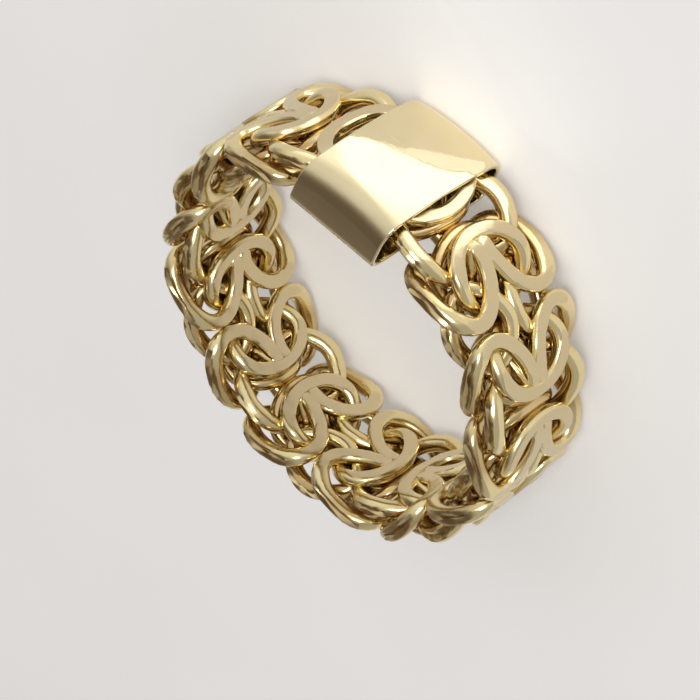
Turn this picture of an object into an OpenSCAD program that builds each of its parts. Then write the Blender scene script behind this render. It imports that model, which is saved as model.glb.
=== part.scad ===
// Finger ring made of a flat woven chain whose two ends meet in one polished sleeve.
// The ring lies on its side: its axis is +Z, the sleeve faces -Y, and all sizes are in mm.
// The weave repeats by half steps. Each half step is the last one turned over, so a face
// that shows two meeting arcs has two straight strands behind them on the other face.

/* [Ring] */
// Clear width of the finger hollow inside the chain
finger_d = 17.3; // [17:0.1:20]
// Half steps of the weave between the first and the last joining links
half_steps = 12; // [10:2:14]
// Turn from the sleeve's middle to the first pair of joining links, degrees
first_turn = 18.6; // [18.6:0.1:21]
// Turn from the sleeve's middle to the last pair of joining links, degrees
last_turn = 24.6; // [24.2:0.1:26]

/* [Chain] */
// Width of the chain along the finger
chain_w = 7; // [6.6:0.1:7.6]
// Thickness of the chain between its two pressed faces
chain_t = 2.36; // [2.2:0.02:2.7]
// Thickness of the link wire before the faces are pressed flat
wire_d = 0.58; // [0.4:0.02:0.58]
// Depth of the flat that pressing leaves on the wire at each face
press = 0.07; // [0.02:0.01:0.1]

/* [Sleeve] */
// Straight length between the sleeve's two open ends
sleeve_l = 5.2; // [5:0.1:5.6]
// Width of the sleeve along the finger
sleeve_w = 7.7; // [7.6:0.1:8.4]
// Thickness of the sleeve's sheet
sheet = 0.25; // [0.2:0.05:0.4]
// Radius of the big arc that domes the sleeve's outer face
dome_r = 16; // [14:0.5:30]
// Radius of the sleeve's rounded long edges
edge_r = 0.9; // [0.7:0.1:1.1]
// Thickness of the two hidden posts that hold the chain's last links
post_d = 0.6; // [0.4:0.05:0.6]

/* [Hidden] */

// Middle line of the chain, and the size of one half step along it
mid_r = (finger_d + chain_t) / 2;
turn = (360 - first_turn - last_turn) / half_steps;
step = mid_r * turn * PI / 180;
// Reach of the wires' middle lines across the chain and through it
reach_w = (chain_w - wire_d) / 2;
reach_t = (chain_t - wire_d) / 2 + press;
// Clear gap that the links keep. Their middle lines lie apart_by at the least in a weave with a
// half step of 4.52 that reaches 3.05 across and 0.95 through, and a tighter weave takes a
// thinner wire.
link_gap = 0.1;
apart_by = 0.68 * min(step / 4.52, reach_w / 3.05, reach_t / 0.95);
wire = min(wire_d, apart_by - link_gap);
// Flats round a link's wire
flats = 5;
// Height of the ring's middle plane above what it lies on
mid_z = sleeve_w / 2;
// Clear gap between the sleeve's sheet and the chain inside it
room = 0.12;

// Link shapes, as shares of a half step along, of reach_w across and of reach_t through.
// Face link: middle along, half length, half width, middle depth, tilt, bow
FACE = [0.48, 0.40, 0.69, 0.59, 0.59, -0.24];
// Last face links in the sleeve: the one that holds the joining links, and the one over it
END_LOW = [0.40, 0.32, 0.69, 0.59, 0.59, -0.24];
END_TOP = [0.44, 0.28, 0.60, -0.62, 0.59, 0.24];
// Joining link: middle across, half width, half length, squareness, lean
JOIN = [0.488, 0.372, 0.395, -0.022, 0.60];
// Side link: middle across, half width, lift, sway along, crossing along, depth, twist
SIDE = [0.45, 0.42, 0.125, -0.135, 0.28, 1.00, -0.09];
// Place of a hidden post, as a share of a half step past the joining links
post_at = 0.54;

// Links are closed lines of points in flat chain places: along, across, through
function around(n) = [for (i = [0 : n - 1]) 360 * i / n];
function face_link(s) = [for (t = around(14))
    [(s[0] - s[1] * cos(t)) * step, s[2] * sin(t) * reach_w,
     (s[3] - s[4] * cos(t) + s[5] * cos(2 * t)) * reach_t]];
function join_link(s) = [for (t = around(14))
    [(s[2] * sin(t) + s[3] * sin(3 * t)) * step, (s[0] - s[1] * cos(t)) * reach_w,
     s[4] * cos(t) * reach_t]];
function side_link(s) = [for (t = around(16))
    [(0.5 + s[3] * sin(t) + s[4] * sin(2 * t)) * step,
     (s[0] - s[1] * cos(t) + s[2] * cos(2 * t)) * reach_w,
     (s[5] * sin(t) + s[6] * sin(2 * t)) * reach_t]];

// The same link with each of its three directions scaled by m and moved along by d
function moved(p, m, d = 0) = [for (q = p) [q[0] * m[0] + d, q[1] * m[1], q[2] * m[2]]];
// Flat places bent round the ring, a half step k away from the first joining links
function bent(p, k) = [for (q = p) let (a = -first_turn - (k + q[0] / step) * turn, r = mid_r + q[2])
    [r * sin(a), -r * cos(a), mid_z + q[1]]];

function unit(v) = v / norm(v);
// Directions square to the line, carried along it with no twist
function carried(d, u, i = 0) = i == len(d) ? [u]
    : concat([u], carried(d, unit(u - (u * d[(i + 1) % len(d)]) * d[(i + 1) % len(d)]), i + 1));
// A point kept between the two pressed faces
function pressed(q) = let (r = norm([q[0], q[1]]),
    s = min(max(r, mid_r - chain_t / 2), mid_r + chain_t / 2) / r) [q[0] * s, q[1] * s, q[2]];

// Round wire along a closed line of points
module wire_along(p) {
    n = len(p);
    dir = [for (i = [0 : n - 1]) unit(p[(i + 1) % n] - p[(i + n - 1) % n])];
    side = carried(dir, unit(cross(dir[0], p[0] - p[floor(n / 2)])));
    slip = atan2(cross(side[0], side[n]) * dir[0], side[0] * side[n]);
    back = slip - round(slip * flats / 360) * 360 / flats;
    polyhedron(
        points = [for (i = [0 : n - 1]) let (u = side[i], v = cross(dir[i], u))
            for (t = around(flats)) let (a = t - back * i / n)
                pressed(p[i] + (u * cos(a) + v * sin(a)) * wire / 2)],
        faces = [for (i = [0 : n - 1]) for (j = [0 : flats - 1])
            let (a = flats * i, b = flats * ((i + 1) % n), k = (j + 1) % flats)
            for (f = [[a + j, b + j, b + k], [a + j, b + k, a + k]]) f]);
}

// Pair of joining links at half step k
module joining_pair(k) {
    up = k % 2 == 0 ? -1 : 1;
    for (m = [-1, 1]) wire_along(bent(moved(join_link(JOIN), [1, m, up]), k));
}

// Knot of two face links and two side links in the half step after k
module knot(k) {
    up = k % 2 == 0 ? -1 : 1;
    wire_along(bent(moved(face_link(FACE), [1, 1, up]), k));
    wire_along(bent(moved(face_link(FACE), [-1, 1, -up], step), k));
    for (m = [-1, 1]) wire_along(bent(moved(side_link(SIDE), [1, m, up]), k));
}

// Last two face links, from half step k into the sleeve, held by a post there
module end_pair(k, way) {
    for (s = [END_LOW, END_TOP]) wire_along(bent(moved(face_link(s), [way, 1, -1]), k));
}

module chain_one() {
    color([0.80, 0.70, 0.46]) {
        end_pair(0, -1);
        for (k = [0 : half_steps / 2 - 1]) { joining_pair(k); knot(k); }
    }
}

module chain_two() {
    color([0.80, 0.70, 0.46]) {
        for (k = [half_steps / 2 : half_steps - 1]) { joining_pair(k); knot(k); }
        joining_pair(half_steps);
        end_pair(half_steps, 1);
    }
}

// Distances of the sleeve's sides from the ring's axis: the inner side where it meets the open
// ends, the same side in the middle, and the outer side beside the long edges
in_r = finger_d / 2 - room - sheet;
flat_y = sqrt(in_r * in_r - sleeve_l * sleeve_l / 4);
top_r = mid_r + chain_t / 2 + room + sheet;

// Cross section of the sleeve with its outline moved in by d: an inner side, two walls with
// rounded edges and a domed outer side whose arc runs smoothly into them
module sleeve_section(d) {
    across = sleeve_w / 2 - edge_r;
    x0 = in_r + edge_r;
    x1 = top_r - edge_r;
    // Middle of the dome's arc, so that the dome stands at top_r beside the edges
    dome_x = x1 - sqrt((dome_r - edge_r) * (dome_r - edge_r) - across * across);
    lean = asin(across / (dome_r - edge_r));
    for (x = [x0, x1], m = [-1, 1]) translate([x, m * across]) circle(edge_r - d, $fn = 40);
    translate([in_r + d, -across]) square([x1 - in_r - d, 2 * across]);
    translate([x0, d - sleeve_w / 2]) square([x1 - x0, sleeve_w - 2 * d]);
    intersection() {
        translate([dome_x, 0]) circle(dome_r - d, $fn = 180);
        polygon([[x1, -across], [dome_x + 2 * dome_r, -2 * dome_r * tan(lean)],
                 [dome_x + 2 * dome_r, 2 * dome_r * tan(lean)], [x1, across]]);
    }
}

// That section run round the ring and cut off square at both ends of a length l. The hull
// leaves its outer side curved and draws its inner side straight from end to end.
module sleeve_body(d, l) {
    half = asin((l / 2 + 1) / in_r);
    hull() intersection() {
        rotate([0, 0, -90 - half]) rotate_extrude(angle = 2 * half, $fn = 160) sleeve_section(d);
        cube([l, 4 * mid_r, 2 * sleeve_w], center = true);
    }
}

module sleeve() {
    color([0.89, 0.84, 0.68]) translate([0, 0, mid_z]) {
        difference() {
            sleeve_body(0, sleeve_l);
            sleeve_body(sheet, sleeve_l + 0.1);
        }
        for (a = [post_at * turn - first_turn, last_turn - post_at * turn])
            rotate([0, 0, a]) translate([0, (flat_y + sheet / 2) / -cos(a), 0])
                rotate([90, 0, 0]) cylinder(h = top_r - flat_y - sheet / 2, d = post_d, $fn = 24);
    }
}

sleeve();
chain_one();
chain_two();
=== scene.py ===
"""Looks of a finger ring made of flat woven gold chain, closed by one polished sleeve.

The ring lies on its side on a pale floor. Blender works in metres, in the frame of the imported
part: the ring's axis is +Z and the sleeve faces -Y. Run as a script, it makes the chain, the
sleeve and the stage, each with its own operator.
"""

import math

import bmesh
import bpy
from bpy.props import FloatProperty, FloatVectorProperty, IntProperty, PointerProperty
from bpy.types import Operator, Panel, PropertyGroup
from mathutils import Matrix, Vector


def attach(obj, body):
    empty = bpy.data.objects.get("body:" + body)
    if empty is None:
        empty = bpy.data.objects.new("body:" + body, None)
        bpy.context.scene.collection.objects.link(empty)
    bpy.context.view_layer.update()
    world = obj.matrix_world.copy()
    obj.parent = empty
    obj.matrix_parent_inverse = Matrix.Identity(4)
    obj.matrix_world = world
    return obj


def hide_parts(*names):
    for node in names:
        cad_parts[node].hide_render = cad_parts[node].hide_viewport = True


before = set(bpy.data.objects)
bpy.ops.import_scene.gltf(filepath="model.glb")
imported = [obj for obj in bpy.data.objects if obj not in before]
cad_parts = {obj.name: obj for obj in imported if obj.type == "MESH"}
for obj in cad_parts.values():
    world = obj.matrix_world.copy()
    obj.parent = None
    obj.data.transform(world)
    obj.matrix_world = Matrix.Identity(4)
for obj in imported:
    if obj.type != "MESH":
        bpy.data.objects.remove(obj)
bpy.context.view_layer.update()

bl_info = {
    "name": "Woven Chain Ring",
    "version": (1, 0, 0),
    "blender": (4, 5, 0),
    "location": "View3D > Sidebar > Ring",
    "description": "Makes a flat woven chain ring with a polished sleeve, and its studio",
    "category": "Add Mesh",
}

MM = 0.001

# Link shapes, as shares of a half step along, of the reach across and of the reach through.
# Face link: middle along, half length, half width, middle depth, tilt, bow
FACE = (0.45, 0.37, 0.61, 0.59, 0.59, -0.24)
# Last face links in the sleeve: the one that holds the joining links, and the one over it
END_LOW = (0.40, 0.32, 0.66, 0.59, 0.59, -0.24)
END_TOP = (0.42, 0.31, 0.66, -0.62, 0.59, 0.24)
# Joining link: middle across, half width, half length, squareness, straightness, lean
JOIN = (0.482, 0.392, 0.40, -0.03, 0.015, 0.70)
# Side link: middle across, half width, lift, sway along, crossing along, depth, twist, flatness
SIDE = (0.385, 0.42, 0.20, -0.135, 0.30, 1.15, -0.01, 0.16)
# Half the thickness of the chain as the part's source draws it
CHAIN_HALF = 1.18 * MM
# Place of a hidden post, as a share of a half step past the joining links, its thickness, and how
# much longer it is than the chain is thick
POST_AT, POST_D, POST_MORE = 0.54, 0.6 * MM, 0.7 * MM

# Rank of each kind of link. Where links are pressed into one plane, each rank lies a little under
# the one before it, so that face links stay on top.
FACE_RANK, SIDE_RANK, JOIN_RANK = 0, 1, 2
RANK_GAP = 0.02 * MM
# Where the wire starts to grow wider and where it is widest, as shares of the way from the chain's
# middle to a pressed face and to an edge
FACE_WIDENS, EDGE_WIDENS = (0.45, 0.85), (0.60, 0.88)
# Where a paired wire's groove starts and where it is deepest: how squarely the surface faces the
# chain's edge, as a cosine, and how near the edge the wire is, as a share of half the width
GROOVE_FACES, GROOVE_NEAR = (0.86, 1.0), (0.45, 0.75)
# How far a link is pushed off its place at the most, along, across and through the chain, how far
# its wire is bent, both in times its unevenness, and how many waves of that a millimetre holds
PUSH, WOBBLE, WOBBLE_WAVES = (1.0, 1.0, 0.6), 1.7, 0.38
# Faces that meet at more than this make a crisp edge
CRISP = math.radians(32)

# Steps that the sleeve is drawn in: along it, round each quarter of its open ends' rims, round
# each rolled edge and across its flat inner side
SLEEVE_ROWS, RIM_STEPS, ROLL_STEPS, FLAT_STEPS = 72, 5, 14, 24

# Low white card that stands round the sleeve's front. Each row is a place along its foot, in mm
# from the ring's axis along X and Y, and how far a strip of painted light, the floor lit by the
# card, reaches from there to the ring.
CARD = ((11.0, -16.6, 0.0), (9.4, -17.0, 0.0), (6.4, -17.1, 0.0), (3.7, -17.3, 0.5),
        (1.7, -16.8, 1.4), (0.3, -16.2, 1.8), (-0.8, -15.5, 1.9), (-1.6, -14.6, 1.8),
        (-2.2, -13.6, 1.5), (-3.4, -13.1, 0.0), (-6.0, -13.1, 0.0))
# Its top, the height where it starts to fade out, its foot, and the width of the dim strip along
# the foot, which is a painted shadow under the card, in mm
CARD_TOP, CARD_FADES, CARD_FOOT, FOOT_SHADOW_WIDTH = 9.5, 4.0, 0.02, 0.13
# How bright the card, the dim strip of painted shadow along its foot and the strip of painted light
# before it are, as shares of the card's light
CARD_SHARES = (1.0, 0.10, 0.62)
# The card's light at its left and right end. It changes between two slanted lines, each given by
# where it meets the floor, in mm along X, and they lean left by this much for each mm of height.
CARD_LIGHT, CARD_DIMS, CARD_SLANT = (2.1, 1.35), (10.6, 13.0), 1.45

# Light of the room. Each row is a direction, how squarely a point of the room lies that way, as a
# cosine, where the light starts to change and where it has changed, and its strength at both.
ROOM_FRONT = ((0.35, -0.93, 0.10), (0.2, 1.0), (0.52, 1.0))
ROOM_TOP = ((0.30, 0.45, 0.84), (0.55, 1.0), (1.0, 0.32))

# Node settings that come up often
PLUS, MINUS = {"operation": "ADD"}, {"operation": "SUBTRACT"}
TIMES, OVER = {"operation": "MULTIPLY"}, {"operation": "DIVIDE"}
TIMES_PLUS, UNSIGNED = {"operation": "MULTIPLY_ADD"}, {"operation": "ABSOLUTE"}
LARGER, SMALLER = {"operation": "MAXIMUM"}, {"operation": "MINIMUM"}
SMOOTH, COLOURS = {"interpolation_type": "SMOOTHSTEP"}, {"data_type": "RGBA"}


def hex_colour(code):
    """An sRGB hex value as linear RGBA."""
    parts = [int(code[i:i + 2], 16) / 255 for i in (1, 3, 5)]
    return (*[c / 12.92 if c <= 0.04045 else ((c + 0.055) / 1.055) ** 2.4 for c in parts], 1.0)


def cells(size):
    """Scale of a pattern whose cells are size millimetres wide."""
    return 1 / (size * MM)


class ChainSizes(PropertyGroup):
    finger_d: FloatProperty(name="Finger hollow", description="Clear width inside the chain",
                            default=17.3 * MM, min=0.01, unit="LENGTH")
    half_steps: IntProperty(name="Half steps", default=12, min=4,
                            description="Half steps between the end joining links")
    first_turn: FloatProperty(name="First turn", default=math.radians(18.6), unit="ROTATION",
                              description="Sleeve's middle to the first joining links")
    last_turn: FloatProperty(name="Last turn", default=math.radians(24.6), unit="ROTATION",
                             description="Sleeve's middle to the last joining links")
    chain_w: FloatProperty(name="Width", description="Width of the chain along the finger",
                           default=7.0 * MM, unit="LENGTH")
    chain_t: FloatProperty(name="Thickness", description="Thickness between the pressed faces",
                           default=2.32 * MM, unit="LENGTH")
    wire_d: FloatProperty(name="Wire", description="Thickness of the round wire before pressing",
                          default=0.80 * MM, unit="LENGTH")
    press: FloatProperty(name="Press", description="Depth that pressing takes off the face links",
                         default=0.13 * MM, unit="LENGTH")
    side_press: FloatProperty(name="Side press", default=0.15 * MM, unit="LENGTH",
                              description="Depth that pressing takes off the edges")
    spread: FloatProperty(name="Spread", default=0.02, min=0.0, max=0.5,
                          description="Share that face wire grows wider by when pressed")
    side_spread: FloatProperty(name="Side spread", description="The same at the chain's two edges",
                               default=0.18, min=0.0, max=0.5)
    groove: FloatProperty(name="Groove", default=0.88, min=0.0, max=0.9,
                          description="Depth of the groove between two paired wires, as a share of "
                                      "the wire's radius")
    unevenness: FloatProperty(name="Unevenness", description="How far a link lies off its place",
                              default=0.05 * MM, unit="LENGTH")
    seed: IntProperty(name="Seed", description="Picks which links lie off their place", default=4)
    points: IntProperty(name="Points", description="Points along one link", default=56, min=16)
    sides: IntProperty(name="Sides", description="Sides of the wire", default=24, min=6)

    def step(self):
        """Length of a half step along the chain's middle."""
        return self.middle() * self.turn()

    def turn(self):
        """Turn of a half step round the finger."""
        return (2 * math.pi - self.first_turn - self.last_turn) / self.half_steps

    def middle(self):
        """Radius of the chain's middle."""
        return self.finger_d / 2 + CHAIN_HALF


class SleeveSizes(PropertyGroup):
    length: FloatProperty(name="Length", description="Straight length between the two open ends",
                          default=5.2 * MM, unit="LENGTH")
    width: FloatProperty(name="Width", description="Width along the finger",
                         default=7.7 * MM, unit="LENGTH")
    sheet: FloatProperty(name="Sheet", description="Thickness of the sheet",
                         default=0.25 * MM, unit="LENGTH")
    dome_r: FloatProperty(name="Dome", description="Radius of the arc across the outer face",
                          default=16 * MM, unit="LENGTH")
    edge_r: FloatProperty(name="Edge", description="Radius of the long rolled edges, finger side",
                          default=0.9 * MM, unit="LENGTH")
    roll_r: FloatProperty(name="Roll", description="Radius of the long rolled edges, outer side",
                          default=1.35 * MM, unit="LENGTH")
    lip_r: FloatProperty(name="Lip", description="Rounding of the open ends' rims",
                         default=0.07 * MM, unit="LENGTH")
    skew: FloatProperty(name="Skew", default=0.047,
                        description="Slant of the open ends, along for each unit across")
    lean: FloatProperty(name="Lean", default=-0.16,
                        description="Slant of the open ends, along for each unit outward")
    room: FloatProperty(name="Room", description="Gap between the sheet and the chain inside it",
                        default=0.12 * MM, unit="LENGTH")


class GoldFinish(PropertyGroup):
    polished: FloatVectorProperty(name="Polished gold", description="Colour of the buffed sleeve",
                                  subtype="COLOR", size=4, default=hex_colour("#EFE1B8"))
    drawn: FloatVectorProperty(name="Drawn gold", description="Colour of the chain's wire",
                               subtype="COLOR", size=4, default=hex_colour("#ECDAA8"))
    worn: FloatVectorProperty(name="Worn gold", description="Colour of rubbed and pressed metal",
                              subtype="COLOR", size=4, default=hex_colour("#DAC8A1"))
    # Painted shade: this brown is laid on deep between the links, where shade falls among the wires
    painted_shade: FloatVectorProperty(name="Painted shade", description="Colour of film deep between the links",
                               subtype="COLOR", size=4, default=hex_colour("#B48F5A"))


class StageSizes(PropertyGroup):
    azimuth: FloatProperty(name="Azimuth", description="Camera's turn round the ring",
                           default=math.radians(-24.6), unit="ROTATION")
    elevation: FloatProperty(name="Elevation", description="Camera's height above the horizon",
                             default=math.radians(32.0845), unit="ROTATION")
    roll: FloatProperty(name="Roll", description="Camera's turn about its own line of sight",
                        default=math.radians(125.8385), unit="ROTATION")
    distance: FloatProperty(name="Distance", description="From the ring's middle to the camera",
                            default=157.4 * MM, unit="LENGTH")
    shift_right: FloatProperty(name="Shift right", default=0.922 * MM, unit="LENGTH",
                               description="Ring's place right of the picture's middle")
    shift_up: FloatProperty(name="Shift up", default=1.619 * MM, unit="LENGTH",
                            description="Ring's place above the picture's middle")
    lens: FloatProperty(name="Lens", description="Focal length for a 36 mm wide picture",
                        default=170.56, unit="CAMERA")
    key_place: FloatVectorProperty(name="Key place", default=(-0.115, -0.21, 0.25), size=3,
                                   description="From the ring's middle to the soft lamp",
                                   subtype="TRANSLATION", unit="LENGTH")
    key_size: FloatProperty(name="Key size", description="Width of the soft lamp",
                            default=0.13, unit="LENGTH")
    key_power: FloatProperty(name="Key power", description="Power of the soft lamp",
                             default=0.38, unit="POWER")
    floor_size: FloatProperty(name="Floor", description="From the floor's middle to its sides",
                              default=0.6, unit="LENGTH")
    floor_glow: FloatProperty(name="Floor glow", default=0.24, min=0.0,
                              description="Light that the pale walls would throw on the floor")


def add(tree, kind, settings=None, inputs=None):
    """Add a node with its settings. An input takes a value, a socket, or a node, which stands for
    that node's first live output."""
    node = tree.nodes.new(kind)
    for name, value in (settings or {}).items():
        setattr(node, name, value)
    for name, value in (inputs or {}).items():
        if isinstance(value, bpy.types.Node):
            value = next(s for s in value.outputs if s.enabled)
        if isinstance(value, bpy.types.NodeSocket):
            tree.links.new(value, node.inputs[name])
        else:
            node.inputs[name].default_value = value
    return node


def angles(count):
    """Angles of count points round a closed line."""
    return [2 * math.pi * i / count for i in range(count)]


def face_line(s, size):
    """Face link: an oval that is tilted and bowed."""
    return [(s[0] - s[1] * math.cos(t), s[2] * math.sin(t),
             s[3] - s[4] * math.cos(t) + s[5] * math.cos(2 * t)) for t in angles(size.points)]


def join_line(s, size):
    """Joining link: an oval along the chain that leans through it."""
    return [(s[2] * math.sin(t) + s[3] * math.sin(3 * t),
             s[0] - s[1] * (math.cos(t) - s[4] * math.cos(3 * t)),
             s[5] * (math.cos(t) - s[4] * math.cos(3 * t))) for t in angles(size.points)]


def side_line(s, size):
    """Side link: an oval across the chain that is lifted, swayed and twisted."""
    return [(0.5 + s[3] * math.sin(t) + s[4] * math.sin(2 * t),
             s[0] - s[1] * math.cos(t) + s[2] * math.cos(2 * t),
             s[5] * (math.sin(t) + s[7] * math.sin(3 * t)) + s[6] * math.sin(2 * t))
            for t in angles(size.points)]


def moved(line, scale, along=0):
    """The same line with each of its directions scaled, moved along the chain."""
    return [(x * scale[0] + along, y * scale[1], z * scale[2]) for x, y, z in line]


def link_lines(size, ends):
    """The links of one half step, and the last links, which stand once: (line, rank, once)."""
    face, join, side = face_line(FACE, size), join_line(JOIN, size), side_line(SIDE, size)
    lines = [(face, FACE_RANK, False), (moved(face, (-1, 1, -1), 1), FACE_RANK, False)]
    for m in (-1, 1):
        lines.append((moved(join, (1, m, 1)), JOIN_RANK, False))
        lines.append((moved(side, (1, m, 1)), SIDE_RANK, False))
    for k, way, with_joint in ends:
        if with_joint:
            lines += [(moved(join, (1, m, -1), k), JOIN_RANK, True) for m in (-1, 1)]
        for shares in (END_LOW, END_TOP):
            lines.append((moved(face_line(shares, size), (way, 1, -1), k), FACE_RANK, True))
    return lines


def line_mesh(name, size, ends):
    """The links' middle lines as closed loops of edges in flat chain places, in metres."""
    reach_w = size.chain_w / 2 - size.wire_d / 2 + size.side_press
    reach_t = size.chain_t / 2 - size.wire_d / 2 + size.press
    verts, edges, ranks, onces = [], [], [], []
    for line, rank, once in link_lines(size, ends):
        first = len(verts)
        verts += [(x * size.step(), y * reach_w, z * reach_t) for x, y, z in line]
        edges += [(first + i, first + (i + 1) % len(line)) for i in range(len(line))]
        ranks += [float(rank)] * len(line)
        onces += [once] * len(line)
    mesh = bpy.data.meshes.new(name)
    mesh.from_pydata(verts, edges, [])
    mesh.attributes.new("rank", "FLOAT", "POINT").data.foreach_set("value", ranks)
    mesh.attributes.new("once", "BOOLEAN", "POINT").data.foreach_set("value", onces)
    return mesh


def weave_tree():
    """Geometry Nodes that repeat the half step, bend it round the finger, draw the wire along it,
    groove the paired wires and press all of it flat."""
    tree = bpy.data.node_groups.new("Woven Chain", "GeometryNodeTree")
    sockets = tree.interface
    sockets.new_socket("Geometry", in_out="INPUT", socket_type="NodeSocketGeometry")
    for name, kind in (
            ("Half Steps", "Int"), ("First Half Step", "Int"), ("Step", "Float"),
            ("Turn", "Float"), ("First Turn", "Float"), ("Middle Radius", "Float"),
            ("Middle Height", "Float"), ("Inner Face", "Float"), ("Outer Face", "Float"),
            ("Half Width", "Float"), ("Wire", "Float"), ("Sides", "Int"), ("Spread", "Float"),
            ("Side Spread", "Float"), ("Groove", "Float"), ("Rank Gap", "Float"),
            ("Unevenness", "Float"), ("Seed", "Int"), ("Gold", "Material")):
        sockets.new_socket(name, in_out="INPUT", socket_type="NodeSocket" + kind)
    sockets.new_socket("Geometry", in_out="OUTPUT", socket_type="NodeSocketGeometry")

    given = add(tree, "NodeGroupInput").outputs
    position = add(tree, "GeometryNodeInputPosition")
    place = add(tree, "ShaderNodeSeparateXYZ", None, {"Vector": position})
    rank = add(tree, "GeometryNodeInputNamedAttribute", {"data_type": "FLOAT"}, {"Name": "rank"})
    once = add(tree, "GeometryNodeInputNamedAttribute", {"data_type": "BOOLEAN"}, {"Name": "once"})
    parts = add(tree, "GeometryNodeSeparateGeometry", None, {
        "Geometry": given["Geometry"], "Selection": once.outputs["Attribute"]})
    single = add(tree, "GeometryNodeMeshToCurve", None, {"Mesh": parts.outputs["Selection"]})
    repeated = add(tree, "GeometryNodeMeshToCurve", None, {"Mesh": parts.outputs["Inverted"]})

    # A point for each half step; every other one turns its links over
    start = add(tree, "ShaderNodeMath", TIMES, {0: given["First Half Step"], 1: given["Step"]})
    row = add(tree, "GeometryNodeMeshLine", {"mode": "OFFSET"}, {
        "Count": given["Half Steps"],
        "Start Location": add(tree, "ShaderNodeCombineXYZ", None, {"X": start}),
        "Offset": add(tree, "ShaderNodeCombineXYZ", None, {"X": given["Step"]})})
    number = add(tree, "ShaderNodeMath", PLUS, {
        0: add(tree, "GeometryNodeInputIndex"), 1: given["First Half Step"]})
    odd = add(tree, "ShaderNodeMath", {"operation": "MODULO"}, {0: number, 1: 2.0})
    over = add(tree, "ShaderNodeMath", TIMES_PLUS, {0: odd, 1: 2.0, 2: -1.0})
    links = add(tree, "GeometryNodeInstanceOnPoints", None, {
        "Points": row, "Instance": repeated,
        "Scale": add(tree, "ShaderNodeCombineXYZ", None, {"X": 1.0, "Y": 1.0, "Z": over})})
    flat = add(tree, "GeometryNodeJoinGeometry")
    for part in (single, links):
        tree.links.new(part.outputs[0], flat.inputs[0])
    flat = add(tree, "GeometryNodeRealizeInstances", None, {"Geometry": flat})

    # Wire grows wider near a pressed face and near an edge
    thick = add(tree, "ShaderNodeMath", MINUS, {0: given["Outer Face"], 1: given["Inner Face"]})
    half = add(tree, "ShaderNodeMath", TIMES, {0: thick, 1: 0.5})
    widths = []
    for axis, reach, (narrow, widest), spread in (
            ("Z", half, FACE_WIDENS, given["Spread"]),
            ("Y", given["Half Width"], EDGE_WIDENS, given["Side Spread"])):
        away = add(tree, "ShaderNodeMath", UNSIGNED, {0: place.outputs[axis]})
        widths.append(add(tree, "ShaderNodeMapRange", SMOOTH, {
            "Value": add(tree, "ShaderNodeMath", OVER, {0: away, 1: reach}),
            "From Min": narrow, "From Max": widest, "To Min": 1.0,
            "To Max": add(tree, "ShaderNodeMath", PLUS, {0: spread, 1: 1.0})}))
    wide = add(tree, "GeometryNodeSetCurveRadius", None, {
        "Curve": flat,
        "Radius": add(tree, "ShaderNodeMath", LARGER, {0: widths[0], 1: widths[1]})})

    # Each link lies a little off its place and is a little bent
    which = add(tree, "GeometryNodeCurveOfPoint")
    push = add(tree, "FunctionNodeRandomValue", {"data_type": "FLOAT_VECTOR"}, {
        "Min": [-far for far in PUSH], "Max": PUSH, "ID": which.outputs["Curve Index"],
        "Seed": given["Seed"]})
    wobble = add(tree, "ShaderNodeTexNoise", None, {
        "Vector": position, "Scale": WOBBLE_WAVES / MM, "Detail": 1.0})
    wobble = add(tree, "ShaderNodeVectorMath", TIMES_PLUS, {
        0: wobble.outputs["Color"], 1: [2 * WOBBLE] * 3, 2: [-WOBBLE] * 3})
    push = add(tree, "ShaderNodeVectorMath", PLUS, {0: push, 1: wobble})
    push = add(tree, "ShaderNodeVectorMath", {"operation": "SCALE"}, {
        0: push, "Scale": given["Unevenness"]})
    loose = add(tree, "GeometryNodeSetPosition", None, {"Geometry": wide, "Offset": push})

    # Bend the flat chain round the finger
    angle = add(tree, "ShaderNodeMath", OVER, {0: place.outputs["X"], 1: given["Step"]})
    angle = add(tree, "ShaderNodeMath", TIMES_PLUS, {
        0: angle, 1: given["Turn"], 2: given["First Turn"]})
    radius = add(tree, "ShaderNodeMath", PLUS, {0: place.outputs["Z"], 1: given["Middle Radius"]})
    back = add(tree, "ShaderNodeMath", TIMES, {0: radius, 1: -1.0})
    axes = {"Z": add(tree, "ShaderNodeMath", PLUS, {
        0: place.outputs["Y"], 1: given["Middle Height"]})}
    for axis, wave in (("X", "SINE"), ("Y", "COSINE")):
        share = add(tree, "ShaderNodeMath", {"operation": wave}, {0: angle})
        axes[axis] = add(tree, "ShaderNodeMath", TIMES, {0: back, 1: share})
    bent = add(tree, "ShaderNodeCombineXYZ", None, axes)
    bent = add(tree, "GeometryNodeSetPosition", None, {"Geometry": loose, "Position": bent})

    # Draw the wire along the lines, whose places stay known under the name line
    store = {"data_type": "FLOAT_VECTOR", "domain": "POINT"}
    bent = add(tree, "GeometryNodeStoreNamedAttribute", store, {
        "Geometry": bent, "Name": "line", "Value": position})
    wire = add(tree, "GeometryNodeCurvePrimitiveCircle", None, {
        "Resolution": given["Sides"],
        "Radius": add(tree, "ShaderNodeMath", TIMES, {0: given["Wire"], 1: 0.5})})
    drawn = add(tree, "GeometryNodeCurveToMesh", None, {
        "Curve": bent, "Profile Curve": wire, "Scale": add(tree, "GeometryNodeInputRadius")})

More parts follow.
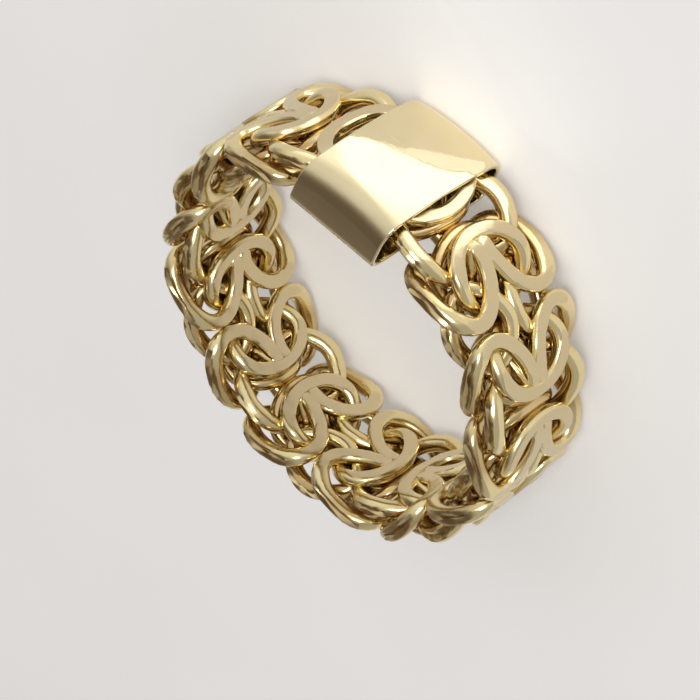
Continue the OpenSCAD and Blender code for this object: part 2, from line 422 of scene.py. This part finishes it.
    # Side and joining links are drawn as pairs of wires soldered side by side, with a groove along
    # the side that they turn to the chain's edge
    line = add(tree, "GeometryNodeInputNamedAttribute", {"data_type": "FLOAT_VECTOR"}, {
        "Name": "line"}).outputs["Attribute"]
    away = add(tree, "ShaderNodeVectorMath", MINUS, {0: position, 1: line})
    facing = add(tree, "ShaderNodeVectorMath", {"operation": "NORMALIZE"}, {0: away})
    facing = add(tree, "ShaderNodeSeparateXYZ", None, {"Vector": facing})
    above = add(tree, "ShaderNodeSeparateXYZ", None, {"Vector": line})
    above = add(tree, "ShaderNodeMath", MINUS, {
        0: above.outputs["Z"], 1: given["Middle Height"]})
    side = add(tree, "ShaderNodeMath", {"operation": "SIGN"}, {0: above})
    outward = add(tree, "ShaderNodeMath", TIMES, {0: facing.outputs["Z"], 1: side})
    groove = add(tree, "ShaderNodeMapRange", SMOOTH, {
        "Value": outward, "From Min": GROOVE_FACES[0], "From Max": GROOVE_FACES[1],
        "To Min": 0.0, "To Max": given["Groove"]})
    paired = add(tree, "ShaderNodeMath", {"operation": "GREATER_THAN"}, {
        0: rank.outputs["Attribute"], 1: float(FACE_RANK)})
    above = add(tree, "ShaderNodeMath", UNSIGNED, {0: above})
    near_edge = add(tree, "ShaderNodeMapRange", SMOOTH, {
        "Value": add(tree, "ShaderNodeMath", OVER, {0: above, 1: given["Half Width"]}),
        "From Min": GROOVE_NEAR[0], "From Max": GROOVE_NEAR[1]})
    for factor in (paired, near_edge, -1.0):
        groove = add(tree, "ShaderNodeMath", TIMES, {0: groove, 1: factor})
    sink = add(tree, "ShaderNodeVectorMath", {"operation": "SCALE"}, {0: away, "Scale": groove})
    grooved = add(tree, "GeometryNodeSetPosition", None, {"Geometry": drawn, "Offset": sink})

    # Press the wire between the two faces and the two edges
    reach = add(tree, "ShaderNodeVectorMath", TIMES, {0: position, 1: (1, 1, 0)})
    reach = add(tree, "ShaderNodeVectorMath", {"operation": "LENGTH"}, {0: reach})
    reach = reach.outputs["Value"]
    under = add(tree, "ShaderNodeMath", TIMES, {
        0: rank.outputs["Attribute"], 1: given["Rank Gap"]})
    inner = add(tree, "ShaderNodeMath", PLUS, {0: given["Inner Face"], 1: under})
    outer = add(tree, "ShaderNodeMath", MINUS, {0: given["Outer Face"], 1: under})
    kept = add(tree, "ShaderNodeMath", LARGER, {0: reach, 1: inner})
    kept = add(tree, "ShaderNodeMath", SMALLER, {0: kept, 1: outer})
    share = add(tree, "ShaderNodeMath", OVER, {0: kept, 1: reach})
    share = add(tree, "ShaderNodeCombineXYZ", None, {"X": share, "Y": share, "Z": 1.0})
    pressed = add(tree, "ShaderNodeVectorMath", TIMES, {0: position, 1: share})
    # The edges hold along Z alone, so their limits along X and Y lie a metre off
    for far, way, limit in ((-1.0, MINUS, LARGER), (1.0, PLUS, SMALLER)):
        edge = add(tree, "ShaderNodeMath", way, {
            0: given["Middle Height"], 1: given["Half Width"]})
        edge = add(tree, "ShaderNodeCombineXYZ", None, {"X": far, "Y": far, "Z": edge})
        pressed = add(tree, "ShaderNodeVectorMath", limit, {0: pressed, 1: edge})
    pressed = add(tree, "GeometryNodeSetPosition", None, {
        "Geometry": grooved, "Position": pressed})

    # The rim of a pressed flat is a crisp edge, and the rest of the wire is smooth
    bend = add(tree, "GeometryNodeInputMeshEdgeAngle").outputs["Unsigned Angle"]
    soft = add(tree, "FunctionNodeCompare", {"data_type": "FLOAT", "operation": "LESS_THAN"}, {
        0: bend, 1: CRISP})
    smooth = add(tree, "GeometryNodeSetShadeSmooth", {"domain": "FACE"}, {"Geometry": pressed})
    smooth = add(tree, "GeometryNodeSetShadeSmooth", {"domain": "EDGE"}, {
        "Geometry": smooth, "Shade Smooth": soft})
    whole = add(tree, "GeometryNodeRealizeInstances", None, {"Geometry": smooth})
    gold = add(tree, "GeometryNodeSetMaterial", None, {
        "Geometry": whole, "Material": given["Gold"]})
    add(tree, "NodeGroupOutput", None, {"Geometry": gold})
    return tree


def as_plain_mesh(source, name):
    """The evaluated object as a new object with a plain mesh; the source is removed."""
    graph = bpy.context.evaluated_depsgraph_get()
    mesh = bpy.data.meshes.new_from_object(source.evaluated_get(graph))
    bpy.data.objects.remove(source)
    mesh.name = name
    piece = bpy.data.objects.new(name, mesh)
    bpy.context.scene.collection.objects.link(piece)
    return piece


def weave(name, tree, size, first, count, ends, gold):
    """One half of the chain as a plain mesh."""
    source = bpy.data.objects.new(name + "_lines", line_mesh(name + "_lines", size, ends))
    bpy.context.scene.collection.objects.link(source)
    nodes = source.modifiers.new("Weave", "NODES")
    nodes.node_group = tree
    values = {
        "Half Steps": count, "First Half Step": first, "Step": size.step(), "Turn": size.turn(),
        "First Turn": size.first_turn, "Middle Radius": size.middle(),
        "Middle Height": bpy.context.scene.ring_sleeve.width / 2,
        "Inner Face": size.middle() - size.chain_t / 2,
        "Outer Face": size.middle() + size.chain_t / 2, "Half Width": size.chain_w / 2,
        "Wire": size.wire_d, "Sides": size.sides, "Spread": size.spread,
        "Side Spread": size.side_spread, "Groove": size.groove, "Rank Gap": RANK_GAP,
        "Unevenness": size.unevenness, "Seed": size.seed, "Gold": gold}
    for socket in tree.interface.items_tree:
        if socket.in_out == "INPUT" and socket.name in values:
            nodes[socket.identifier] = values[socket.name]
    return as_plain_mesh(source, name)


def new_material(name):
    """A material with an empty node tree, and that tree."""
    material = bpy.data.materials.new(name)
    material.use_nodes = True
    tree = material.node_tree
    tree.nodes.clear()
    return material, tree


def chain_gold(finish, size):
    """14 karat yellow gold wire, drawn, soldered and rolled flat: the round sides stay bright, the
    pressed flats are greyer and a little duller, and fine marks run over both. A brown painted
    shade darkens it deep between the links, in patches."""
    material, tree = new_material("rolled_gold_wire_14k")
    place = add(tree, "ShaderNodeTexCoord").outputs["Object"]
    reach = add(tree, "ShaderNodeVectorMath", TIMES, {0: place, 1: (1, 1, 0)})
    reach = add(tree, "ShaderNodeVectorMath", {"operation": "LENGTH"}, {0: reach})
    away = add(tree, "ShaderNodeMath", MINUS, {0: reach.outputs["Value"], 1: size.middle()})
    away = add(tree, "ShaderNodeMath", UNSIGNED, {0: away})
    # Pressed is 1 on a flat and 0 on the round wire, and inside is 1 near the chain's middle, deep
    # between the links, where the painted shade goes
    pressed = add(tree, "ShaderNodeMapRange", SMOOTH, {
        "Value": away, "From Min": size.chain_t / 2 - 0.07 * MM,
        "From Max": size.chain_t / 2 - 0.01 * MM})
    inside = add(tree, "ShaderNodeMapRange", SMOOTH, {
        "Value": away, "From Min": 0.25 * MM, "From Max": 0.95 * MM, "To Min": 1.0, "To Max": 0.0})
    # Uneven polish in patches about 1.5 mm wide
    patches = add(tree, "ShaderNodeTexNoise", None, {
        "Vector": place, "Scale": cells(1.54), "Detail": 3.0}).outputs["Fac"]
    # Roller marks and scratches, really about 0.01 mm wide, drawn 0.07 mm apart to show
    stretched = add(tree, "ShaderNodeMapping", None, {
        "Vector": place, "Rotation": (0.3, 0.2, 0.6), "Scale": (1.0, 1.0, 0.12)})
    marks = add(tree, "ShaderNodeTexNoise", None, {
        "Vector": stretched, "Scale": cells(0.0714), "Detail": 4.0})
    # Painted shade: a brown colour laid on deep between the links, in patches, where shade falls
    # among the wires
    film = add(tree, "ShaderNodeMath", TIMES, {0: patches, 1: 1.1})
    film = add(tree, "ShaderNodeMath", TIMES, {0: inside, 1: film})
    colour = add(tree, "ShaderNodeMix", COLOURS, {
        0: pressed, 6: tuple(finish.drawn), 7: tuple(finish.worn)})
    colour = add(tree, "ShaderNodeMix", COLOURS, {
        0: film, 6: colour.outputs[2], 7: tuple(finish.painted_shade)})
    # Roughness of round wire and of flats, more or less by 0.08 from patch to patch
    rough = add(tree, "ShaderNodeMix", None, {0: pressed, 2: 0.19, 3: 0.24})
    patches = add(tree, "ShaderNodeMath", MINUS, {0: patches, 1: 0.5})
    rough = add(tree, "ShaderNodeMath", TIMES_PLUS, {0: patches, 1: 0.16, 2: rough})
    # Pressing leaves the flats slightly uneven, in swells about 1 mm long
    swell = add(tree, "ShaderNodeTexNoise", None, {
        "Vector": place, "Scale": cells(1.11), "Detail": 1.0})
    bump = add(tree, "ShaderNodeBump", None, {
        "Strength": 1.0, "Distance": 0.07 * MM, "Height": swell.outputs["Fac"]})
    bump = add(tree, "ShaderNodeBump", None, {
        "Strength": 0.18, "Distance": 0.01 * MM, "Height": marks.outputs["Fac"],
        "Normal": bump})
    gold = add(tree, "ShaderNodeBsdfPrincipled", None, {
        "Base Color": colour.outputs[2], "Metallic": 1.0, "Roughness": rough, "Normal": bump})
    add(tree, "ShaderNodeOutputMaterial", None, {"Surface": gold})
    return material


def sleeve_gold(finish):
    """14 karat yellow gold sheet, bent and buffed: nearly a mirror, with crossing hair scratches
    from wear and a faint cloudy haze, so that reflections are soft at their edges."""
    material, tree = new_material("buffed_gold_sheet_14k")
    place = add(tree, "ShaderNodeTexCoord").outputs["Object"]
    # Cloudy haze in patches about 2.4 mm wide
    clouds = add(tree, "ShaderNodeTexNoise", None, {
        "Vector": place, "Scale": cells(2.38), "Detail": 4.0}).outputs["Fac"]
    # Hair scratches, really about 0.01 mm wide, drawn 0.04 mm wide to show; two sets cross
    scratches = []
    for turn, apart in (((0.2, 0.5, 0.3), 0.111), ((0.1, -0.7, 0.2), 0.143)):
        stretched = add(tree, "ShaderNodeMapping", None, {
            "Vector": place, "Rotation": turn, "Scale": (0.03, 1.0, 1.0)})
        lines = add(tree, "ShaderNodeTexNoise", None, {
            "Vector": stretched, "Scale": cells(apart), "Detail": 2.0, "Roughness": 0.6})
        scratches.append(add(tree, "ShaderNodeMapRange", None, {
            "Value": lines.outputs["Fac"], "From Min": 0.66, "From Max": 0.74}))
    cut = add(tree, "ShaderNodeMath", LARGER, {0: scratches[0], 1: scratches[1]})
    colour = add(tree, "ShaderNodeMix", COLOURS, {
        0: add(tree, "ShaderNodeMath", TIMES, {0: clouds, 1: 0.8}),
        6: tuple(finish.polished), 7: tuple(finish.worn)})
    # Roughness from 0.06, up to twice that in the haze, and rougher by 0.12 in a scratch
    rough = add(tree, "ShaderNodeMath", TIMES_PLUS, {0: clouds, 1: 0.06, 2: 0.06})
    rough = add(tree, "ShaderNodeMath", TIMES_PLUS, {0: cut, 1: 0.12, 2: rough})
    # Bending and buffing leave the sheet uneven: swells about 3 mm long and ripples of 0.4 mm
    swell = add(tree, "ShaderNodeTexNoise", None, {
        "Vector": place, "Scale": cells(3.03), "Detail": 0.0})
    ripple = add(tree, "ShaderNodeTexNoise", None, {
        "Vector": place, "Scale": cells(0.3846), "Detail": 1.0})
    bump = add(tree, "ShaderNodeBump", None, {
        "Strength": 1.0, "Distance": 0.04 * MM, "Height": swell.outputs["Fac"]})
    bump = add(tree, "ShaderNodeBump", None, {
        "Strength": 1.0, "Distance": 0.004 * MM, "Height": ripple.outputs["Fac"],
        "Normal": bump})
    bump = add(tree, "ShaderNodeBump", {"invert": True}, {
        "Strength": 0.25, "Distance": 0.004 * MM, "Height": cut, "Normal": bump})
    gold = add(tree, "ShaderNodeBsdfPrincipled", None, {
        "Base Color": colour.outputs[2], "Metallic": 1.0, "Roughness": rough, "Normal": bump})
    add(tree, "ShaderNodeOutputMaterial", None, {"Surface": gold})
    return material


def floor_card(glow):
    """Matt white studio card, with the faint mottle of pressed paper fibre."""
    material, tree = new_material("matt_white_card")
    place = add(tree, "ShaderNodeTexCoord").outputs["Object"]
    # Mottle in patches about 17 mm wide
    mottle = add(tree, "ShaderNodeTexNoise", None, {
        "Vector": place, "Scale": cells(16.67), "Detail": 5.0})
    colour = add(tree, "ShaderNodeMix", COLOURS, {
        0: mottle.outputs["Fac"], 6: hex_colour("#EDECEB"), 7: hex_colour("#F4F3F2")})
    card = add(tree, "ShaderNodeBsdfPrincipled", None, {
        "Base Color": colour.outputs[2], "Roughness": 0.75,
        "Emission Color": colour.outputs[2], "Emission Strength": glow})
    add(tree, "ShaderNodeOutputMaterial", None, {"Surface": card})
    return material


def lit_card():
    """White card that gives light: it fades out towards its top, and past a slanted line at its
    right end it is dimmer."""
    material, tree = new_material("lit_white_card")
    place = add(tree, "ShaderNodeTexCoord").outputs["Object"]
    place = add(tree, "ShaderNodeSeparateXYZ", None, {0: place}).outputs
    cover = add(tree, "ShaderNodeMapRange", SMOOTH, {
        "Value": place["Z"], "From Min": CARD_FADES * MM, "From Max": CARD_TOP * MM,
        "To Min": 1.0, "To Max": 0.0})
    slant = add(tree, "ShaderNodeMath", TIMES_PLUS, {0: place["Z"], 1: CARD_SLANT, 2: place["X"]})
    lit = add(tree, "ShaderNodeMapRange", SMOOTH, {
        "Value": slant, "From Min": CARD_DIMS[0] * MM, "From Max": CARD_DIMS[1] * MM,
        "To Min": CARD_LIGHT[0], "To Max": CARD_LIGHT[1]})
    glow = add(tree, "ShaderNodeAttribute", {"attribute_name": "glow"}).outputs["Fac"]
    light = add(tree, "ShaderNodeEmission", None, {
        "Strength": add(tree, "ShaderNodeMath", TIMES, {0: glow, 1: lit})})
    clear = add(tree, "ShaderNodeBsdfTransparent")
    shader = add(tree, "ShaderNodeMixShader", None, {0: cover, 1: clear, 2: light})
    add(tree, "ShaderNodeOutputMaterial", None, {"Surface": shader})
    return material


def low_card():
    """The low card, with a dim strip along its foot that is a painted shadow under the card, and a
    strip of painted light before it that stands for the floor the card lights. Only what shines
    mirrors it: it lights nothing else, throws no shadow and isn't seen itself."""
    verts, faces, glow = [], [], []
    for x, y, reach in CARD:
        # The first strip along the foot is a painted shadow under the card, and the strip before it
        # is painted light, the floor lit by the card
        shadow_end = y + FOOT_SHADOW_WIDTH
        verts += [(x, y, CARD_TOP), (x, y, CARD_FOOT), (x, shadow_end, CARD_FOOT),
                  (x, shadow_end + reach, CARD_FOOT)]
    across = len(CARD_SHARES) + 1
    for i in range(len(CARD) - 1):
        for row, share in enumerate(CARD_SHARES):
            a = i * across + row
            faces.append((a, a + 1, a + across + 1, a + across))
            glow.append(share)
    mesh = bpy.data.meshes.new("low_card")
    mesh.from_pydata([[MM * c for c in vert] for vert in verts], [], faces)
    mesh.attributes.new("glow", "FLOAT", "FACE").data.foreach_set("value", glow)
    mesh.materials.append(lit_card())
    card = bpy.data.objects.new("low_card", mesh)
    card.visible_camera = card.visible_diffuse = card.visible_shadow = False
    return card


def arc(r, y, radius, start, end, count):
    """Points of an arc round (r, y), from the angle start to the angle end."""
    turns = [start + (end - start) * i / count for i in range(count + 1)]
    return [(r + radius * math.cos(a), y + radius * math.sin(a)) for a in turns]


def sleeve_outline(size, inset, x):
    """Closed outline of the sleeve at x, moved in by inset: a flat side next to the finger, two
    walls with round edges, and a domed outer side that follows the ring's curve."""
    chain = bpy.context.scene.ring_chain
    in_r = chain.finger_d / 2 - size.room - size.sheet
    top_r = chain.middle() + CHAIN_HALF + size.room + size.sheet
    edge, roll, dome = size.edge_r, size.roll_r, size.dome_r
    across, shoulder = size.width / 2 - edge, size.width / 2 - roll
    low, high = math.sqrt(in_r ** 2 - size.length ** 2 / 4) + edge, top_r - roll
    lean = math.asin(shoulder / (dome - roll))
    dome_x = high - (dome - roll) * math.cos(lean)

    inner = arc(low, across, edge - inset, math.pi, math.pi / 2, ROLL_STEPS)
    outer = arc(high, shoulder, roll - inset, math.pi / 2, lean, ROLL_STEPS)
    outer += arc(dome_x, 0, dome - inset, lean, -lean, 4 * ROLL_STEPS)[1:-1]
    outer += [(r, -y) for r, y in reversed(outer[:ROLL_STEPS + 1])]
    flat = [(low - edge + inset, across * (2 * i / FLAT_STEPS - 1)) for i in range(1, FLAT_STEPS)]
    places = [(-r, y) for r, y in inner]
    places += [(-math.sqrt(r * r - x * x), y) for r, y in outer]
    places += [(-r, -y) for r, y in reversed(inner)]
    places += [(-r, y) for r, y in flat]
    return [(x + size.skew * y - size.lean * (away + top_r), away, size.width / 2 + y)
            for away, y in places]


def sleeve_mesh(name, size):
    """The sheet tube: outlines from end to end and back on its inside, rounded at both open ends,
    with two hidden posts."""
    chain = bpy.context.scene.ring_chain
    half, lip = size.length / 2, size.lip_r
    bm = bmesh.new()

    def outline(inset, x):
        return [bm.verts.new(place) for place in sleeve_outline(size, inset, x)]

    turns = [math.pi / 2 * i / RIM_STEPS for i in range(RIM_STEPS + 1)]
    rim = [(lip * (1 - math.sin(a)), half - lip * (1 - math.cos(a))) for a in turns]
    inner_rim = [(size.sheet - d, x) for d, x in rim]
    shares = [2 * i / SLEEVE_ROWS - 1 for i in range(2, SLEEVE_ROWS - 1)]
    rows = [outline(d, -x) for d, x in rim]
    rows += [outline(0, half * share) for share in shares]
    rows += [outline(d, x) for d, x in reversed(rim)]
    rows += [outline(d, x) for d, x in inner_rim]
    rows += [outline(size.sheet, -half * share) for share in shares]
    rows += [outline(d, -x) for d, x in reversed(inner_rim)]
    for i, row in enumerate(rows):
        after = rows[(i + 1) % len(rows)]
        for j in range(len(row)):
            k = (j + 1) % len(row)
            bm.faces.new((row[j], row[k], after[k], after[j]))
    bmesh.ops.remove_doubles(bm, verts=bm.verts, dist=1e-8)
    bmesh.ops.recalc_face_normals(bm, faces=bm.faces)
    for face in bm.faces:
        face.smooth = True
    past = POST_AT * chain.turn()
    for turn in (past - chain.first_turn, chain.last_turn - past):
        post = (Matrix.Rotation(turn, 4, "Z")
                @ Matrix.Translation((0, -chain.middle(), size.width / 2))
                @ Matrix.Rotation(math.pi / 2, 4, "X"))
        bmesh.ops.create_cone(bm, cap_ends=True, segments=24, radius1=POST_D / 2,
                              radius2=POST_D / 2, depth=2 * CHAIN_HALF + POST_MORE, matrix=post)
    mesh = bpy.data.meshes.new(name)
    bm.to_mesh(mesh)
    bm.free()
    return mesh


def floor_plane(size):
    """The floor, a plain square sheet of card."""
    bm = bmesh.new()
    bmesh.ops.create_grid(bm, x_segments=8, y_segments=8, size=size.floor_size)
    mesh = bpy.data.meshes.new("floor")
    bm.to_mesh(mesh)
    bm.free()
    mesh.materials.append(floor_card(size.floor_glow))
    return bpy.data.objects.new("floor", mesh)


def view_camera(size, centre):
    """The camera, turned round the ring, raised and rolled, with the ring off its middle."""
    a, e, r = size.azimuth, size.elevation, size.roll
    back = Vector((math.sin(a) * math.cos(e), -math.cos(a) * math.cos(e), math.sin(e)))
    level = Vector((math.cos(a), math.sin(a), 0))
    rise = back.cross(level)
    right = level * math.cos(r) - rise * math.sin(r)
    up = level * math.sin(r) + rise * math.cos(r)
    camera = bpy.data.objects.new("camera", bpy.data.cameras.new("camera"))
    camera.data.sensor_width = 36
    camera.data.lens = size.lens
    camera.data.clip_start, camera.data.clip_end = 0.01, 10
    camera.matrix_world = Matrix((right, up, back)).transposed().to_4x4()
    camera.location = (centre + back * size.distance - right * size.shift_right
                       - up * size.shift_up)
    return camera


def key_softbox(size, centre):
    """The soft lamp, turned to the ring."""
    lamp = bpy.data.objects.new("key_softbox", bpy.data.lights.new("key_softbox", "AREA"))
    lamp.data.size = size.key_size
    lamp.data.energy = size.key_power
    lamp.visible_camera = False
    away = Vector(size.key_place)
    lamp.location = centre + away
    lamp.rotation_euler = (-away).to_track_quat("-Z", "Y").to_euler()
    return lamp


def studio_room():
    """Light of the room, bright in front of the sleeve and dark and warmer above and behind it."""
    world = bpy.data.worlds.new("studio")
    world.use_nodes = True
    sky = world.node_tree
    sky.nodes.clear()
    way = add(sky, "ShaderNodeTexCoord").outputs["Generated"]
    shares = []
    for direction, facing, strength in (ROOM_FRONT, ROOM_TOP):
        towards = add(sky, "ShaderNodeVectorMath", {"operation": "DOT_PRODUCT"}, {
            0: way, 1: direction})
        shares.append(add(sky, "ShaderNodeMapRange", SMOOTH, {
            "Value": towards.outputs["Value"], "From Min": facing[0], "From Max": facing[1],
            "To Min": strength[0], "To Max": strength[1]}))
    tint = add(sky, "ShaderNodeMix", COLOURS, {
        0: shares[1], 6: hex_colour("#EBCBAF"), 7: hex_colour("#F2F2F0")})
    glow = add(sky, "ShaderNodeBackground", None, {
        "Color": tint.outputs[2],
        "Strength": add(sky, "ShaderNodeMath", TIMES, {0: shares[0], 1: shares[1]})})
    add(sky, "ShaderNodeOutputWorld", None, {"Surface": glow})
    return world


class RING_OT_chain(Operator):
    """Weave the two halves of the chain round the finger hollow"""
    bl_idname = "ring.weave_chain"
    bl_label = "Weave Chain"

    def execute(self, context):
        size, finish = context.scene.ring_chain, context.scene.ring_gold
        tree, gold = weave_tree(), chain_gold(finish, size)
        half = size.half_steps // 2
        for name, node, first, ends in (
                ("woven_chain_one", "chain_one", 0, [(0, -1, False)]),
                ("woven_chain_two", "chain_two", half, [(size.half_steps, 1, True)])):
            piece = weave(name, tree, size, first, half, ends, gold)
            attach(piece, "root")
            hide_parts(node)
        return {"FINISHED"}


class RING_OT_sleeve(Operator):
    """Fold the polished sleeve that closes the chain"""
    bl_idname = "ring.fold_sleeve"
    bl_label = "Fold Sleeve"

    def execute(self, context):
        size, finish = context.scene.ring_sleeve, context.scene.ring_gold
        piece = bpy.data.objects.new("polished_sleeve", sleeve_mesh("polished_sleeve", size))
        context.scene.collection.objects.link(piece)
        piece.data.materials.append(sleeve_gold(finish))
        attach(piece, "root")
        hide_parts("sleeve")
        return {"FINISHED"}


class RING_OT_stage(Operator):
    """Set the pale floor, the low card, the soft light and the camera"""
    bl_idname = "ring.set_stage"
    bl_label = "Set Stage"

    def execute(self, context):
        scene, size = context.scene, context.scene.ring_stage
        centre = Vector((0, 0, scene.ring_sleeve.width / 2))
        for piece in (floor_plane(size), low_card()):
            scene.collection.objects.link(piece)
        camera, lamp = view_camera(size, centre), key_softbox(size, centre)
        for piece in (camera, lamp):
            scene.collection.objects.link(piece)
        scene.camera = camera
        scene.world = studio_room()
        scene.view_settings.view_transform = "Standard"
        return {"FINISHED"}


class RING_PT_panel(Panel):
    bl_label = "Woven Chain Ring"
    bl_idname = "RING_PT_panel"
    bl_space_type = "VIEW_3D"
    bl_region_type = "UI"
    bl_category = "Ring"

    def draw(self, context):
        scene = context.scene
        for group in (scene.ring_chain, scene.ring_sleeve, scene.ring_gold, scene.ring_stage):
            box = self.layout.box()
            for name in group.__annotations__:
                box.prop(group, name)
        for operator in (RING_OT_chain, RING_OT_sleeve, RING_OT_stage):
            self.layout.operator(operator.bl_idname)


CLASSES = (ChainSizes, SleeveSizes, GoldFinish, StageSizes, RING_OT_chain, RING_OT_sleeve,
           RING_OT_stage, RING_PT_panel)
GROUPS = {"ring_chain": ChainSizes, "ring_sleeve": SleeveSizes, "ring_gold": GoldFinish,
          "ring_stage": StageSizes}


def register():
    for each in CLASSES:
        bpy.utils.register_class(each)
    for name, group in GROUPS.items():
        setattr(bpy.types.Scene, name, PointerProperty(type=group))


def unregister():
    for name in GROUPS:
        delattr(bpy.types.Scene, name)
    for each in reversed(CLASSES):
        bpy.utils.unregister_class(each)


def main():
    register()
    bpy.ops.ring.weave_chain()
    bpy.ops.ring.fold_sleeve()
    bpy.ops.ring.set_stage()


if __name__ == "__main__":
    main()
